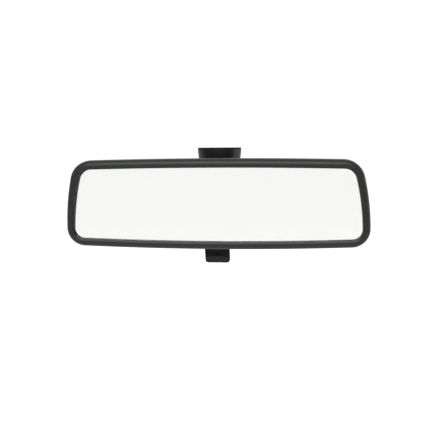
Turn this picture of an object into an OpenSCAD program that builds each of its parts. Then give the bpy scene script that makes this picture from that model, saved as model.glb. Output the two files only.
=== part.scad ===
// Interior rearview mirror with a day and night tab, on a glued windscreen foot.
// Origin: centre of the adhesive pad's glue face. +Z up, -Y towards the driver, X across the car.

/* [Head] */
// Widest width of the head
head_w = 247.6; // [244:0.2:252]
// Height of the head at its middle
head_h = 74; // [73:0.1:75]
// Height of the widest line above the bottom edge
widest_rise = 14; // [12:0.5:16]
// Radius of the two top corners
top_corner_r = 17.4; // [16:0.2:20]
// Radius of the two bottom corners
bottom_corner_r = 15; // [14:0.2:18]
// Radius of the long top edge
top_edge_r = 4450; // [4000:50:5000]
// Radius of the long bottom edge
bottom_edge_r = 2830; // [2500:10:3200]
// Radius of each bowed side
side_r = 199; // [185:1:215]
// Depth of the bezel, front to back
bezel_depth = 9; // [8.6:0.1:9.4]
// Depth of the whole head
head_depth = 20; // [19.5:0.1:21]
// Width of the bezel's front rim along its top and bottom
rim_w = 6.9; // [6.4:0.05:7.1]
// Width of the rim at the head's two ends
end_rim_w = 6.1; // [5.8:0.05:6.6]
// How far the glass lies behind the front of the rim
glass_inset = 2.1; // [1.9:0.1:2.3]
// Thickness of the moulded walls
wall = 2.2; // [2:0.1:2.4]

/* [Glass] */
// Thickness of the glass at its bottom edge
glass_thin = 2; // [1.8:0.1:2.2]
// Thickness of the glass at its top edge
glass_thick = 6; // [5.6:0.1:6.2]

/* [Foot and stem] */
// How far the head's front lies ahead of the foot's centre
head_reach = 46; // [44:0.5:50]
// How far the head's middle lies below the foot's glue face
head_drop = 42.1; // [41:0.1:46]
// Tilt of the glue face towards the windscreen, degrees
pad_tilt = 5.1; // [3:0.1:7]
// Radius of the foot at its top
foot_r = 18.7; // [18:0.1:20]
// Height of the foot
foot_h = 12.4; // [12:0.1:13]
// Radius of the ball
ball_r = 7; // [6.9:0.05:7.1]
// Radius of the stem
stem_r = 4.5; // [4.2:0.1:4.7]

/* [Tab] */
// Width of the tab
tab_w = 20.8; // [19:0.1:21.6]
// Length of the tab below its pin
tab_l = 20; // [19.5:0.1:24]
// Angle of the tab from upright in each of its two positions, degrees
tab_lean = 25; // [24:0.5:26]

/* [Hidden] */
$fn = 48;
over = 0.5;
run = 0.05;

// Head: depths run back from the bezel's front, heights run up from the head's middle.
front_y = -head_reach;
mid_z = -head_drop;
half_w = head_w / 2;
half_h = head_h / 2;
widest_h = widest_rise - half_h;
least_corner = 2;
part_line = bezel_depth + 0.2;
edge_in = 15;
edge_drop = 4;
edge_step = 15;
seam_in = 0.25;
tongue_in = 2.45;
tongue_depth = 3;
tongue_wall = 1.25;
lip_round_in = 4.6;
lip_round_t = 4.4;
lip_flat_in = 5;
lip_edge_t = 1.1;
seat_in = 4.3;
seat_depth = 2.4;

// Glass and what lies on it
glass_in = 4.6;
glass_span = head_h - 2 * glass_in;
glass_wedge = atan((glass_thick - glass_thin) / glass_span);
silver_t = 0.1;
film_t = 0.3;

// Ball, socket and stem
ball_t = 23;
ball_h = 2;
ball_y = front_y + ball_t;
ball_z = mid_z + ball_h;
socket_tilt = 8;
fit_gap = 0.1;
liner_wall = 1.5;
liner_out_r = ball_r + fit_gap + liner_wall;
cavity_r = liner_out_r + fit_gap;
socket_out_r = cavity_r + 1.8;
mouth_angle = 50;
liner_mouth_angle = 53;
liner_split = 5;
neck_r = 3.2;
neck_l = 10.5;
bend_r = 9;
bend_lap = 3;
shaft_r = 5;
turn = 90 - pad_tilt - socket_tilt;
// Where the line out of the ball crosses the foot's axis, measured down that axis
elbow_drop = (ball_y * sin(socket_tilt) - ball_z * cos(socket_tilt))
    / (cos(pad_tilt) * cos(socket_tilt) - sin(pad_tilt) * sin(socket_tilt));
elbow_y = -elbow_drop * sin(pad_tilt);
elbow_z = -elbow_drop * cos(pad_tilt);
elbow_reach = norm([elbow_y - ball_y, elbow_z - ball_z]);
bend_tangent = bend_r * tan(turn / 2);

// Foot
pad_t = 1.1;
cover_slope = 6.3;
cover_edge_r = 1.6;
plate_r = 16.4;
plate_h = 8.5;
nut_recess_r = 7.6;
nut_recess_h = 5.2;
thread_r = 3;
washer_t = 0.8;
nut_h = 3.6;
nut_r = 5.77;

// Hinge that the head dips about
hinge_t = 13;
hinge_h = 22;
hinge_half = 30;
hinge_r = 4;
pin_r = 1.5;
bush_r = 2.6;
ear_x = 33;
ear_w = 4;
dip_angle = 4;

// Tab and its crank
tab_t = 11;
tab_h = 4.6 - half_h;
tab_pin_r = 1.25;
hub_r = 3.6;
hub_in = 5;
hub_flat = 3.4;
crank_r = (hinge_h - tab_h) * sin(dip_angle) / (2 * sin(tab_lean) + sin(dip_angle));
crank_gap = 0.12;
fork_half = 4;
fork_wall = 1.3;
blade_t = 2.6;
slot_front = 6.8;
slot_back = 15.2;
slot_half = tab_w / 2 + 0.7;

// Carrier and its fixings
panel_t = 12.3;
panel_low = -11;
panel_half = 24;
tongue_t = 8.8;
carrier_wall = 2.2;
retainer_t = 1.5;
screw_ring = 9.9;
finger_x = 8.5;
finger_w = 2.4;
leaf_t = 0.45;
leaf_h = -19.2;
aperture_r = 16.5;

// Points of an arc, its far end left out
function arc(c, r, a0, a1, n) = [for (i = [0:n - 1]) c + r * [cos(a0 + (a1 - a0) * i / n),
    sin(a0 + (a1 - a0) * i / n)]];
function heading(from, to) = atan2(to[1] - from[1], to[0] - from[0]);
// Where two circles cross; side picks the crossing
function crossing(c1, r1, c2, r2, side) =
    let (v = c2 - c1, d = norm(v), along = (r1 * r1 - r2 * r2 + d * d) / (2 * d))
    let (across = side * sqrt(r1 * r1 - along * along), u = v / d)
    c1 + along * u + across * [u[1], -u[0]];

// Outline of the head, moved in by d: five arcs a side, each touching the next
function half_outline(d) =
    let (top = [0, half_h - top_edge_r], bottom = [0, bottom_edge_r - half_h])
    let (flank = [half_w - side_r, widest_h])
    let (rt = max(top_corner_r - d, least_corner), rb = max(bottom_corner_r - d, least_corner))
    let (ct = crossing(top, top_edge_r - d - rt, flank, side_r - d - rt, 1))
    let (cb = crossing(bottom, bottom_edge_r - d - rb, flank, side_r - d - rb, -1))
    concat(
        arc(bottom, bottom_edge_r - d, -90, heading(bottom, cb), 3),
        arc(cb, rb, heading(bottom, cb), heading(flank, cb), 6),
        arc(flank, side_r - d, heading(flank, cb), heading(flank, ct), 5),
        arc(ct, rt, heading(flank, ct), heading(top, ct), 6),
        arc(top, top_edge_r - d, heading(top, ct), 90, 4),
        [[0, half_h - d]]);
function outline(d) =
    let (right = half_outline(d), n = len(right))
    concat(right, [for (i = [n - 2:-1:1]) [-right[i][0], right[i][1]]]);

// A ring of the head's skin: moved in by d, t behind the front, lowered by drop, wider by k
function ring(d, t, drop = 0, k = 1) =
    [for (p = outline(d)) [k * p[0], front_y + t, mid_z + p[1] - drop]];

// A skin through rings of equal length: closed on itself, or capped at both ends by fans
module skin(rings, closed = false) {
    n = len(rings[0]);
    m = len(rings);
    bands = closed ? m : m - 1;
    hub = m * n;
    hubs = closed ? [] : [for (r = [rings[0], rings[m - 1]]) (r[0] + r[n / 2]) / 2];
    sides = [for (j = [0:bands - 1], i = [0:n - 1])
        let (k = (j + 1) % m, i2 = (i + 1) % n)
        each [[j * n + i, k * n + i, j * n + i2], [j * n + i2, k * n + i, k * n + i2]]];
    caps = closed ? [] : [for (i = [0:n - 1])
        let (i2 = (i + 1) % n)
        each [[hub, i, i2], [hub + 1, (m - 1) * n + i2, (m - 1) * n + i]]];
    polyhedron(concat([for (r = rings) each r], hubs), concat(sides, caps), convexity = 8);
}

// A flat slab of the head's outline between two depths
module slab(d, t0, t1) {
    translate([0, front_y + t1, mid_z])
        rotate([90, 0, 0]) linear_extrude(t1 - t0) polygon(outline(d));
}

// Places its children at a depth and height in the head
module in_head(t, h, x = 0) {
    translate([x, front_y + t, mid_z + h]) children();
}

// A cylinder that runs back, from its children's place, by l
module back_rod(r, l) {
    rotate([-90, 0, 0]) cylinder(r = r, h = l);
}

// A cylinder along X, centred
module cross_rod(r, l) {
    rotate([0, 90, 0]) cylinder(r = r, h = l, center = true);
}

// Places its children in the socket: +Z runs back along the stem
module in_socket() {
    translate([0, ball_y, ball_z]) rotate([socket_tilt - 90, 0, 0]) children();
}

// Places its children in the foot: -Z runs down from the glue face
module in_foot() {
    rotate([-pad_tilt, 0, 0]) children();
}

// What the dipping tab needs free in the case below it
module tab_slot() {
    in_head((slot_front + slot_back) / 2, -half_h)
        cube([2 * slot_half, slot_back - slot_front, 12], center = true);
}

module adhesive_pad() {
    color("dimgray") in_foot()
        translate([0, 0, -pad_t]) cylinder(r = foot_r - 0.3, h = pad_t);
}

module foot_plate() {
    color("silver") in_foot() difference() {
        translate([0, 0, -pad_t - plate_h]) cylinder(r = plate_r, h = plate_h);
        translate([0, 0, -pad_t - nut_recess_h]) cylinder(r = nut_recess_r, h = plate_h);
        translate([0, 0, -pad_t - plate_h - over]) cylinder(r = thread_r, h = plate_h);
    }
}

// Tapered plastic skirt with a rounded lower edge
module foot_cover() {
    low_r = foot_r - (foot_h - cover_edge_r) * tan(cover_slope);
    edge_c = [low_r - cover_edge_r, cover_edge_r - foot_h];
    rounding = arc(edge_c, cover_edge_r, -90, 0, 6);
    color("#262626") in_foot() rotate_extrude() polygon(concat(
        [[shaft_r + 0.3, -foot_h]], rounding,
        [[low_r, cover_edge_r - foot_h], [foot_r, -pad_t], [plate_r, -pad_t],
        [plate_r, -pad_t - plate_h], [shaft_r + 0.3, -pad_t - plate_h]]));
}

// Steel stem: ball, neck, bend, shaft and threaded end
module ball_stem() {
    bend_start = elbow_reach - bend_tangent;
    shaft_top = pad_t + plate_h;
    color("#3a3a3c") {
        in_socket() {
            sphere(r = ball_r);
            cylinder(r = neck_r, h = bend_start);
            translate([0, 0, neck_l]) cylinder(r = stem_r, h = bend_start - neck_l);
        }
        in_socket() translate([0, -bend_r, bend_start]) rotate([90, 0, 90])
            rotate([0, 0, -bend_lap]) rotate_extrude(angle = turn + 2 * bend_lap)
                translate([bend_r, 0]) circle(r = stem_r - bend_lap / 20);
        in_foot() translate([0, 0, bend_tangent - elbow_drop])
            cylinder(r = stem_r, h = elbow_drop - bend_tangent - foot_h + 1);
        in_foot() translate([0, 0, -foot_h - 5]) cylinder(r = shaft_r, h = foot_h + 5 - shaft_top);
        in_foot() translate([0, 0, -shaft_top - over])
            cylinder(r = thread_r, h = plate_h - 1 + over);
    }
}

module stem_washer() {
    color("silver") in_foot() translate([0, 0, -pad_t - nut_recess_h]) difference() {
        cylinder(r = nut_r, h = washer_t);
        translate([0, 0, -over]) cylinder(r = thread_r, h = washer_t + 2 * over);
    }
}

module stem_nut() {
    color("silver") in_foot() translate([0, 0, -pad_t - nut_recess_h + washer_t]) difference() {
        cylinder(r = nut_r, h = nut_h, $fn = 6);
        translate([0, 0, -over]) cylinder(r = thread_r, h = nut_h + 2 * over);
    }
}

// A shell round the ball between two heights along the stem
module liner(z0, z1) {
    difference() {
        intersection() {
            sphere(r = liner_out_r);
            translate([0, 0, z0]) cylinder(r = 2 * ball_r, h = z1 - z0);
        }
        sphere(r = ball_r + fit_gap);
    }
}

module socket_liner_rear() {
    reach = liner_out_r * cos(liner_mouth_angle);
    color("ivory") in_socket() difference() {
        liner(liner_out_r * sin(liner_split), reach);
        cylinder(r = (ball_r + fit_gap) * sin(liner_mouth_angle), h = liner_out_r);
    }
}

module socket_liner_front() {
    color("ivory") in_socket()
        liner(-liner_out_r * cos(30), -liner_out_r * sin(liner_split));
}

// Socket, hinge barrel and forked tongue in one casting
module carrier_plate() {
    socket_front = -10.9;
    mouth_z = socket_out_r * cos(mouth_angle);
    crank_t = tab_t - crank_r * sin(tab_lean);
    fork_t = 2 * (pin_r + crank_gap + fork_wall);
    fork_h = tab_h + tab_pin_r + 0.35;
    tongue_half = fork_half + 0.5;
    color("#8c8f92") difference() {
        union() {
            in_socket() intersection() {
                union() {
                    sphere(r = socket_out_r);
                    translate([0, 0, socket_front]) cylinder(r = socket_out_r + 1.5, h = -socket_front);
                }
                translate([0, 0, socket_front]) cylinder(r = 20, h = mouth_z - socket_front);
            }
            in_head(panel_t, panel_low, -panel_half)
                cube([2 * panel_half, carrier_wall, hinge_h - panel_low]);
            in_head(hinge_t, hinge_h) cross_rod(hinge_r, 2 * hinge_half);
            in_head(panel_t, hinge_h - 8, -hinge_half) cube([2 * hinge_half, carrier_wall, 8]);
            in_head(tongue_t, panel_low - 4.5, -tongue_half)
                cube([2 * tongue_half, panel_t + carrier_wall - tongue_t, 4.5]);
            in_head(tongue_t, fork_h + 6, -tongue_half)
                cube([2 * tongue_half, carrier_wall, panel_low - fork_h - 6]);
            in_head(crank_t - fork_t / 2, fork_h, -fork_half) cube([2 * fork_half, fork_t, 7]);
        }
        in_socket() sphere(r = cavity_r);
        in_socket() translate([0, 0, -20]) cylinder(r = cavity_r, h = 20);
        in_socket() cylinder(r = cavity_r * sin(mouth_angle), h = 20);
        in_socket() translate([0, 0, -20]) cylinder(r = socket_out_r + 1.8, h = 20 + socket_front);
        in_head(hinge_t, hinge_h) cross_rod(bush_r, 2 * hinge_half + over);
        in_head(crank_t, fork_h + 1.4)
            cube([2 * fork_half + over, 2 * (pin_r + crank_gap), 6], center = true);
        in_socket() screw_holes(0.8, socket_front - over, 5);
    }
}

// Places four children round the socket
module round_socket(z) {
    for (a = [45:90:315]) rotate([0, 0, a]) translate([screw_ring + 0.3, 0, z]) children();
}

module screw_holes(r, z, l) {
    round_socket(z) cylinder(r = r, h = l, $fn = 24);
}

// Ring with a hollow seat that bears on the front liner
module pressure_pad() {
    color("#b0b4b8") in_socket() difference() {
        translate([0, 0, -9.3]) cylinder(r = cavity_r - 0.1, h = 2.6);
        sphere(r = cavity_r);
        translate([0, 0, -12]) cylinder(r = 4, h = 12);
    }
}

// Two dished washers back to back
module disc_springs() {
    dish = 0.8;
    color("#9a9da0") in_socket() for (flip = [0, 1])
        translate([0, 0, -9.32 - 0.8 + 0.02]) mirror([0, 0, flip]) rotate_extrude()
            polygon([[4.2, dish - 0.4], [cavity_r - 0.3, 0], [cavity_r - 0.3, 0.4], [4.2, dish]]);
}

module retainer_plate() {
    color("#9a9da0") in_socket() difference() {
        translate([0, 0, -10.92 - retainer_t]) cylinder(r = socket_out_r + 1.5, h = retainer_t);
        translate([0, 0, -20]) cylinder(r = 3, h = 20);
        screw_holes(1, -20, 20);
    }
}

module retainer_screws() {
    color("silver") in_socket() round_socket(-10.92 - retainer_t) {
        cylinder(r = 0.79, h = 5, $fn = 24);
        translate([0, 0, -0.8]) cylinder(r = 1.4, h = 0.8, $fn = 24);
    }
}

// Flanged bushes, one at each end of the hinge barrel
module hinge_bushes() {
    color("ivory") for (s = [-1, 1]) in_head(hinge_t, hinge_h, s * (hinge_half - 4)) difference() {
        union() {
            cross_rod(bush_r, 8);
            translate([s * 4.5, 0, 0]) cross_rod(hinge_r - 0.3, 1);
        }
        cross_rod(pin_r + run, 12);
    }
}

// Rubber pads on the carrier that meet the case by day
module stop_pads() {
    color("#202020") for (s = [-1, 1])
        in_head(panel_t + carrier_wall, panel_low + 3.5, s * 20) back_rod(3, 0.9);
}

// Rounded rim, glass seat and skirt as one closed section
module bezel() {
    round_part = [for (a = [0:18:90])
        [lip_round_in * (1 - cos(a)), lip_round_t * (1 - sin(a))]];
    section = concat([[0, bezel_depth]], round_part,
        [[lip_flat_in, 0], [rim_w - 0.15, lip_edge_t], [rim_w, glass_inset], [seat_in, glass_inset],
        [seat_in, glass_inset + seat_depth], [wall, glass_inset + seat_depth + 0.8],
        [wall, bezel_depth]]);
    // The rim's inner part is drawn outwards towards the ends, where the rim is narrower
    end_pull = (rim_w - end_rim_w) / half_w / (rim_w - lip_round_in);
    color("#333436") difference() {
        skin([for (p = section) ring(p[0], p[1], 0, 1 + end_pull * max(0, p[0] - lip_round_in))],
            closed = true);
        tab_slot();
    }
}

// Back shell: outer dome, tongue that snaps into the bezel, inner dome
function dome(in0, spread, depth) = [for (a = [0:edge_step:90])
    [in0 + spread * (1 - cos(a)), part_line + depth * sin(a), edge_drop * (1 - cos(a))]];

module housing_shell() {
    outside = dome(seam_in, edge_in, head_depth - part_line);
    inside = dome(tongue_in + tongue_wall, edge_in - tongue_wall - 0.75, head_depth - part_line - wall);
    n = len(outside);
    section = concat([for (i = [n - 1:-1:0]) outside[i]],
        [[tongue_in, part_line, 0], [tongue_in, part_line - tongue_depth, 0],
        [tongue_in + tongue_wall, part_line - tongue_depth, 0]], inside);
    skin([for (p = section) ring(p[0], p[1], p[2])]);
}

module rear_housing() {
    color("#2b2c2e") difference() {
        union() {
            housing_shell();
            in_head(ball_t - 5, ball_h) back_rod(aperture_r + 2.4, 4.4);
            for (s = [-1, 1]) {
                in_head(hinge_t - 4, hinge_h - 4, s * (ear_x + ear_w / 2) - ear_w / 2)
                    cube([ear_w, head_depth - hinge_t + 2, 8]);
                in_head(tab_t - 3, tab_h - 1.9, s * (slot_half + 1.7) - 2) cube([4, 7, 4.9]);
                in_head(tab_t + hub_flat + run + leaf_t, leaf_h, s * finger_x)
                    back_rod(2.6, head_depth - tab_t - hub_flat - 1);
            }
        }
        in_head(ball_t - 15, ball_h) back_rod(aperture_r, 30);
        in_head(hinge_t, hinge_h) cross_rod(pin_r, 2 * (ear_x + ear_w) + 2);
        in_head(tab_t, tab_h) cross_rod(tab_pin_r, 2 * slot_half + 7);
        for (s = [-1, 1]) {
            in_head(tab_t, leaf_h, s * finger_x) back_rod(0.9, 8);
            in_head(tab_t + hub_flat - 0.4, tab_h - 0.8, s * finger_x - 1.6) cube([3.2, 1.8, 4]);
        }
        in_head(tab_t + 2.5, tab_h + 0.9, -fork_half - 1) cube([2 * fork_half + 2, 3.1, 4]);
        tab_slot();
    }
}

// Cuts its children off behind the wedge's back, moved back by gap
module before_wedge(gap) {
    intersection() {
        children();
        in_head(glass_inset + (glass_thin + glass_thick) / 2 + gap, 0)
            rotate([-glass_wedge, 0, 0]) translate([-half_w, -20, -half_h - 5])
                cube([head_w, 20, head_h + 10]);
    }
}

module behind_wedge(gap) {
    difference() {
        children();
        in_head(glass_inset + (glass_thin + glass_thick) / 2 + gap, 0)
            rotate([-glass_wedge, 0, 0]) translate([-half_w, -20, -half_h - 5])
                cube([head_w, 20, head_h + 10]);
    }
}

module prism_glass() {
    color("#dfe6e8") before_wedge(0) slab(glass_in, glass_inset, glass_inset + glass_thick + 1);
}

module silver_coating() {
    color("#c8ccd0") behind_wedge(0) before_wedge(silver_t)
        slab(glass_in, glass_inset, glass_inset + glass_thick + 1.5);
}

module safety_film() {
    color("#505860") behind_wedge(silver_t) before_wedge(silver_t + film_t)
        slab(glass_in, glass_inset, glass_inset + glass_thick + 2);
}

// Foam strips behind the long edges of the glass, held by the housing's tongue
module glass_cushions() {
    color("#3c3c3c") behind_wedge(silver_t + film_t) for (h = [-1, 1], s = [-1, 1])
        in_head(glass_inset + glass_thin + 0.6, h * (half_h - 8.6) - 1.5, s * 62 - 35)
            cube([70, 7.4, 3]);
}

// Rubber ring with a soft lip round the opening in the back
module aperture_seal() {
    color("#1c1c1c") in_head(ball_t - 3.6, ball_h) rotate([-90, 0, 0]) rotate_extrude()
        polygon([[aperture_r - 1.6, 1.6], [aperture_r, 1.6], [aperture_r, 3.0], [aperture_r + 2.4, 3.0],
            [aperture_r + 2.4, 4.4], [aperture_r - 0.9, 4.4]]);
}

module hinge_pin() {
    color("silver") in_head(hinge_t, hinge_h) cross_rod(pin_r, 2 * (ear_x + ear_w) + 5);
}

module hinge_clips() {
    color("#9a9da0") for (s = [-1, 1])
        in_head(hinge_t, hinge_h, s * (ear_x + ear_w + 1)) difference() {
            cross_rod(3, 0.6);
            cross_rod(pin_r, 2);
        }
}

// U-shaped leaf: a bar screwed to the case and a finger on each hub of the tab
module detent_spring() {
    spring_t = tab_t + hub_flat + run;
    color("#b0b4b8") difference() {
        union() {
            in_head(spring_t, leaf_h - 3, -finger_x - 3) cube([2 * finger_x + 6, leaf_t, 6]);
            for (s = [-1, 1])
                in_head(spring_t, tab_h + 0.8, s * finger_x - finger_w / 2)
                    cube([finger_w, leaf_t, leaf_h - tab_h]);
        }
        for (s = [-1, 1]) in_head(spring_t - over, leaf_h, s * finger_x) back_rod(1.05, 2);
    }
}

module spring_screws() {
    color("silver") for (s = [-1, 1]) in_head(tab_t + hub_flat + run - 0.9, leaf_h, s * finger_x) {
        back_rod(0.9, 4.5);
        back_rod(1.9, 0.9);
    }
}

module tab_pin() {
    color("silver") in_head(tab_t, tab_h) cross_rod(tab_pin_r, 2 * slot_half + 6.6);
}

// Blade with a raised edge and finger lip, two hubs and the crank between them
module tab_lever() {
    lip_h = 6.4;
    lip_t = 1.9;
    edge_w = 1.4;
    edge_t = 0.9;
    corner = 2.2;
    half = tab_w / 2;
    outer = concat([[half, -2], [-half, -2]],
        arc([corner - half, corner - tab_l], corner, 180, 270, 5),
        arc([half - corner, corner - tab_l], corner, 270, 360, 5), [[half, corner - tab_l]]);
    color("#2a2a2c") in_head(tab_t, tab_h) rotate([tab_lean, 0, 0]) difference() {
        union() {
            rotate([90, 0, 0]) translate([0, 0, -blade_t / 2]) linear_extrude(blade_t) polygon(outer);
            intersection() {
                rotate([90, 0, 0]) linear_extrude(blade_t / 2 + lip_t) polygon(outer);
                union() {
                    translate([-half, -10, -tab_l]) cube([tab_w, 10, lip_h]);
                    for (s = [-1, 1])
                        translate([s * (half - edge_w / 2) - edge_w / 2, -blade_t / 2 - edge_t, -tab_l])
                            cube([edge_w, edge_t + over, tab_l - 6.2]);
                }
            }
            for (s = [-1, 1]) translate([s * (half + hub_in) / 2, 0, 0]) intersection() {
                cross_rod(hub_r, half - hub_in);
                rotate([-tab_lean, 0, 0]) hub_blank(half - hub_in);
            }
            for (s = [-1, 1]) translate([s * (hub_in + 0.8), 0, 0]) {
                translate([-0.8, -1.9, 0]) cube([1.6, 3.8, crank_r]);
                translate([0, 0, crank_r]) cross_rod(1.9, 1.6);
            }
            translate([0, 0, crank_r]) cross_rod(pin_r, 2 * hub_in + 1);
        }
        cross_rod(tab_pin_r + run, tab_w + 2);
        translate([0, 0, -0.4]) cube([2 * hub_in, 5, 5.2], center = true);
    }
}

// Square-cornered block that leaves the two detent flats on a hub
module hub_blank(w) {
    intersection() {
        translate([-w / 2, -5, -5]) cube([w, 5 + hub_flat, 10]);
        rotate([2 * tab_lean, 0, 0]) translate([-w / 2, -5, -5]) cube([w, 5 + hub_flat, 10]);
    }
}

adhesive_pad();
foot_plate();
foot_cover();
ball_stem();
stem_washer();
stem_nut();
socket_liner_rear();
socket_liner_front();
carrier_plate();
pressure_pad();
disc_springs();
retainer_plate();
retainer_screws();
hinge_bushes();
stop_pads();
bezel();
rear_housing();
prism_glass();
silver_coating();
safety_film();
glass_cushions();
aperture_seal();
hinge_pin();
hinge_clips();
detent_spring();
spring_screws();
tab_pin();
tab_lever();
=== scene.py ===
from math import asin, atan2, cos, pi, radians, sin, sqrt, tan

import bmesh
import bpy
from mathutils import Matrix, Vector


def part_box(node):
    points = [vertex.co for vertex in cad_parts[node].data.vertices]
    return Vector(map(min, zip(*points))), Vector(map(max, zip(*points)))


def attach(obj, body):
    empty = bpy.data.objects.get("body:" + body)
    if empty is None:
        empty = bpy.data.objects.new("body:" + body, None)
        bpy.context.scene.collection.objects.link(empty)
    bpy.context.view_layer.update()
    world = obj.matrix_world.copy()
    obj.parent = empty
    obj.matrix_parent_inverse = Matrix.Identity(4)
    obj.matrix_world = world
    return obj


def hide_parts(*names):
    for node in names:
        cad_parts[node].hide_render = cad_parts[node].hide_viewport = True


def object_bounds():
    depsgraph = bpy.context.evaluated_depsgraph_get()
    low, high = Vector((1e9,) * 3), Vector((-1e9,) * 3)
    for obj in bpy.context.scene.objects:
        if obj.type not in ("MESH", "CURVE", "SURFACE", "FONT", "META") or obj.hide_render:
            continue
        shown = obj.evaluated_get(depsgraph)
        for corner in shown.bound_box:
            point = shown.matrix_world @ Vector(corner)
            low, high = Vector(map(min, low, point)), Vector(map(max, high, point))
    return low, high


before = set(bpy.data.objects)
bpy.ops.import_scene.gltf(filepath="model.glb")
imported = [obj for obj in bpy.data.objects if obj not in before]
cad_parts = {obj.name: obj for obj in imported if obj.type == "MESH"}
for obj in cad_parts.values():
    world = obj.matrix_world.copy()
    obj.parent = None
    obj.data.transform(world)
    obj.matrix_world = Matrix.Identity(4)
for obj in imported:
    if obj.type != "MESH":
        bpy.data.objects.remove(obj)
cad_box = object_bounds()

mm = 0.001

# Camera and studio
# The mirror hangs in a plain white studio with bright walls and a pale floor well below it.
# A large soft box stands above the camera and a weak one at the mirror's right. The camera
# looks slightly down at the glass from just right of its middle.
bezel_low, bezel_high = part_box("bezel")
head_middle = Vector((0, bezel_low.y, (bezel_low.z + bezel_high.z) / 2))
view_distance = 565.1 * mm
view_from_right, view_from_above, view_roll = radians(6.2), radians(10.63), radians(-0.95)
view_shift = (0.24 * mm, -7.74 * mm)
lens_length = 59.05
wall_brightness = 1.1
view_turn = (Matrix.Rotation(view_from_right, 4, "Z")
             @ Matrix.Rotation(pi / 2 - view_from_above, 4, "X")
             @ Matrix.Rotation(view_roll, 4, "Z"))
view_offset = Vector((*view_shift, view_distance))

camera = bpy.data.objects.new("camera", bpy.data.cameras.new("camera"))
camera.data.lens = lens_length
camera.matrix_world = Matrix.Translation(head_middle + view_turn @ view_offset) @ view_turn
bpy.context.scene.collection.objects.link(camera)
bpy.context.scene.camera = camera
bpy.context.scene.view_settings.view_transform = "Standard"

studio = bpy.data.worlds.new("studio")
studio.use_nodes = True
studio.node_tree.nodes["Background"].inputs["Color"].default_value = (1, 1, 1, 1)
studio.node_tree.nodes["Background"].inputs["Strength"].default_value = wall_brightness
bpy.context.scene.world = studio


def soft_box(name, place, width, height, power):
    """A rectangular lamp at place that faces the head."""
    lamp = bpy.data.lights.new(name, "AREA")
    lamp.shape = "RECTANGLE"
    lamp.size = width
    lamp.size_y = height
    lamp.energy = power
    holder = bpy.data.objects.new(name, lamp)
    aim = (head_middle - place).to_track_quat("-Z", "Y")
    holder.matrix_world = Matrix.Translation(place) @ aim.to_matrix().to_4x4()
    bpy.context.scene.collection.objects.link(holder)


soft_box("key_box", head_middle + Vector((-0.1, -0.92, 0.95)), width=1.1, height=1.15, power=37)
soft_box("side_box", head_middle + Vector((1.1, 0.3, 0.1)), width=0.4, height=0.6, power=3)


def shader_group(name, inputs, outputs):
    """An empty shader node group with those (label, socket type, value) inputs and outputs."""
    group = bpy.data.node_groups.new(name, "ShaderNodeTree")
    for label, kind, value in inputs:
        socket = group.interface.new_socket(label, in_out="INPUT", socket_type=kind)
        if value is not None:
            socket.default_value = value
    for label, kind in outputs:
        group.interface.new_socket(label, in_out="OUTPUT", socket_type=kind)
    return group, group.nodes.new("NodeGroupInput"), group.nodes.new("NodeGroupOutput")


def grain_and_cloud():
    """Group for every finish: fine grain in height and roughness, wide cloudy change in colour."""
    group, given, result = shader_group(
        "grain_and_cloud",
        [("Vector", "NodeSocketVector", None), ("Color", "NodeSocketColor", (0.5, 0.5, 0.5, 1)),
         ("Roughness", "NodeSocketFloat", 0.5), ("Grain Scale", "NodeSocketFloat", 2000.0),
         ("Cloud Scale", "NodeSocketFloat", 60.0), ("Color Change", "NodeSocketFloat", 0.1),
         ("Roughness Change", "NodeSocketFloat", 0.1)],
        [("Color", "NodeSocketColor"), ("Roughness", "NodeSocketFloat"),
         ("Height", "NodeSocketFloat")])
    link = group.links.new
    grain, cloud = (group.nodes.new("ShaderNodeTexNoise") for _ in range(2))
    for noise, scale in ((grain, "Grain Scale"), (cloud, "Cloud Scale")):
        noise.inputs["Detail"].default_value = 3
        link(given.outputs["Vector"], noise.inputs["Vector"])
        link(given.outputs[scale], noise.inputs["Scale"])
    shifts = []
    for noise, change, middle in ((cloud, "Color Change", 1.0), (grain, "Roughness Change", 0.0)):
        centred = group.nodes.new("ShaderNodeMath")
        centred.operation = "SUBTRACT"
        centred.inputs[1].default_value = 0.5
        link(noise.outputs["Fac"], centred.inputs[0])
        scaled = group.nodes.new("ShaderNodeMath")
        scaled.operation = "MULTIPLY_ADD"
        link(centred.outputs[0], scaled.inputs[0])
        link(given.outputs[change], scaled.inputs[1])
        scaled.inputs[2].default_value = middle
        shifts.append(scaled)
    tint = group.nodes.new("ShaderNodeHueSaturation")
    link(given.outputs["Color"], tint.inputs["Color"])
    link(shifts[0].outputs[0], tint.inputs["Value"])
    rough = group.nodes.new("ShaderNodeMath")
    link(shifts[1].outputs[0], rough.inputs[0])
    link(given.outputs["Roughness"], rough.inputs[1])
    link(tint.outputs["Color"], result.inputs["Color"])
    link(rough.outputs[0], result.inputs["Roughness"])
    link(grain.outputs["Fac"], result.inputs["Height"])
    return group


grain_group = grain_and_cloud()


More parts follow.
